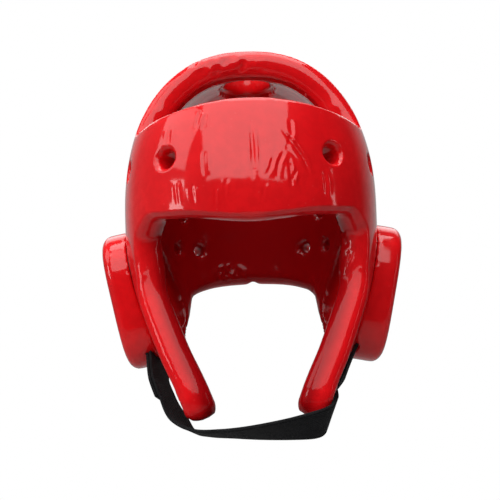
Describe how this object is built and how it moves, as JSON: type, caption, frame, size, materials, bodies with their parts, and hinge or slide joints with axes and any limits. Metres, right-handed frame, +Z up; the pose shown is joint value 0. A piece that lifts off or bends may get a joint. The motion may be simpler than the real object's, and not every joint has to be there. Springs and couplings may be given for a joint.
{
  "type": "taekwondo headgear",
  "caption": "Padded open-face sparring headgear of glossy dipped foam: forehead band, bridged crown, cheek guards, cupped ears and a webbing chin strap",
  "frame": {"origin": "the head seat: the inside of the crown at its middle, where the headgear sits on a head", "axes": "+Z up, the face opening looks along -Y, +X to the wearer's left"},
  "size_m": [0.2206, 0.2294, 0.2649],
  "materials": {
    "dipped_foam": "smooth glossy vinyl dip over soft foam",
    "webbing": "matt woven elastic webbing"
  },
  "bodies": {
    "root": {"shell": "dipped_foam", "ear_cup_left": "dipped_foam", "ear_cup_right": "dipped_foam", "chin_strap": "webbing", "strap_tab": "webbing"}
  },
  "joints": []
}
